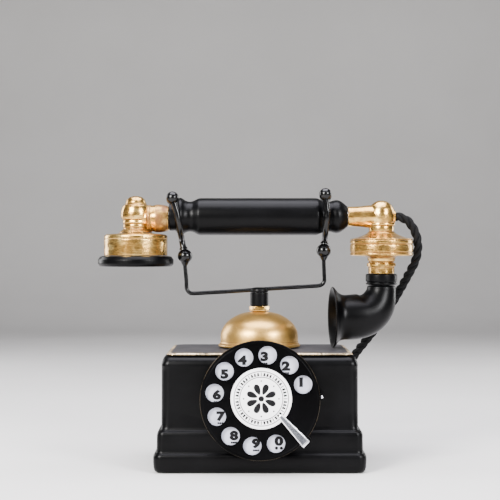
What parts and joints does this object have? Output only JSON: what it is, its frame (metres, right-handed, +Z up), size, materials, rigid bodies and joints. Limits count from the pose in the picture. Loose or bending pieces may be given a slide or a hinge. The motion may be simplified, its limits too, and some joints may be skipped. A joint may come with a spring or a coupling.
{
  "type": "vintage cradle telephone",
  "caption": "French-style cradle telephone: stepped black base with rotary dial, top bell, ball-and-fork cradle, and a black and gold handset with a curved mouth horn.",
  "frame": {"origin": "centre of the felt pad's underside, on the desk", "axes": "+X to the right of a person facing the dial, along the handset; -Y out of the dial; +Z up"},
  "size_m": [0.2438, 0.208, 0.2046],
  "materials": {
    "black_enamel": "satin black enamel, soft highlights",
    "gloss_black": "gloss black enamel",
    "satin_gold": "brushed satin gold with darker crevices",
    "steel": "bright steel",
    "brass": "machined brass",
    "white_enamel": "pale enamel with black digits",
    "card": "white printed card",
    "felt": "dark felt",
    "cord_cloth": "twisted black cotton braid",
    "copper_winding": "enamelled copper wire",
    "brown_board": "pressed insulating board",
    "rubber": "black rubber"
  },
  "bodies": {
    "base": {"felt_pad": "felt", "base_plate": "steel", "base_screw_1": "steel", "base_screw_2": "steel", "base_screw_3": "steel", "base_screw_4": "steel", "base_casing": "black_enamel", "base_cord_gland": "brass", "line_grommet": "rubber", "bell_gong": "satin_gold", "bell_nut": "satin_gold", "stem_lock_nut": "brass", "gong_spacer": "steel", "stem_sleeve": "black_enamel", "plunger_bracket": "steel", "plunger_spring": "steel", "contact_block": "brown_board", "contact_leaf": "brass", "ringer_yoke": "steel", "ringer_coil_left": "copper_winding", "ringer_coil_right": "copper_winding", "terminal_block": "brown_board", "induction_coil": "copper_winding", "dial_cup": "black_enamel", "dial_lock_ring": "steel", "dial_rim_screw": "steel", "number_plate": "white_enamel", "dial_frame": "brass", "spring_barrel": "brass", "finger_stop": "steel", "cord_tail": "cord_cloth", "cord_coil": "cord_cloth"},
    "handset": {"handset_grip": "black_enamel", "handset_rod": "steel", "receiver_elbow": "satin_gold", "receiver_case": "satin_gold", "receiver_capsule": "steel", "receiver_diaphragm": "steel", "ear_cap": "black_enamel", "mouth_elbow": "satin_gold", "transmitter_case": "satin_gold", "transmitter_capsule": "steel", "transmitter_diaphragm": "steel", "horn_collar": "black_enamel", "mouth_horn": "black_enamel", "handset_cord": "cord_cloth"},
    "cradle": {"plunger_rod": "steel", "cradle_crossbar": "gloss_black", "cradle_ball_left": "gloss_black", "cradle_ball_right": "gloss_black", "cradle_fork_left": "gloss_black", "cradle_fork_right": "gloss_black"},
    "hook_lever": {"hook_lever": "brass"},
    "finger_wheel": {"finger_wheel": "black_enamel", "label_card": "card", "dial_shaft": "steel", "drive_gear": "brass"},
    "governor": {"governor": "brass"},
    "ringer": {"ringer_armature": "steel", "clapper": "steel"}
  },
  "joints": [
    {"name": "handset_lift", "type": "slide", "parent": "base", "child": "handset", "axis": [0, 0, 1], "range_m": [0, 0.038]},
    {"name": "cradle_rise", "type": "slide", "parent": "base", "child": "cradle", "axis": [0, 0, 1], "range_m": [0, 0.005], "deforming": ["plunger_spring"]},
    {"name": "hook_switch", "type": "hinge", "parent": "base", "child": "hook_lever", "pos_m": [-0.022, 0, 0.0375], "axis": [0, -1, 0], "range_deg": [0, 12.8]},
    {"name": "dial_turn", "type": "hinge", "parent": "base", "child": "finger_wheel", "pos_m": [0, -0.062, 0.0533], "axis": [0, 1, 0], "range_deg": [0, 334], "stiffness_Nm_per_rad": 0.01, "springref_deg": -28.65},
    {"name": "governor_spin", "type": "hinge", "parent": "base", "child": "governor", "pos_m": [0, -0.0354, 0.0733], "axis": [0, 1, 0], "range_deg": [-1336, 0]},
    {"name": "clapper_swing", "type": "hinge", "parent": "base", "child": "ringer", "pos_m": [0.02, 0.027, 0.052], "axis": [0, 1, 0], "range_deg": [-3.2, 3.2], "stiffness_Nm_per_rad": 0.01}
  ],
  "couplings": [
    {"joint": "cradle_rise", "follows": "handset_lift", "ratio": 0.13157},
    {"joint": "hook_switch", "follows": "handset_lift", "rad_per_m": 5.879},
    {"joint": "governor_spin", "follows": "dial_turn", "ratio": -4}
  ]
}
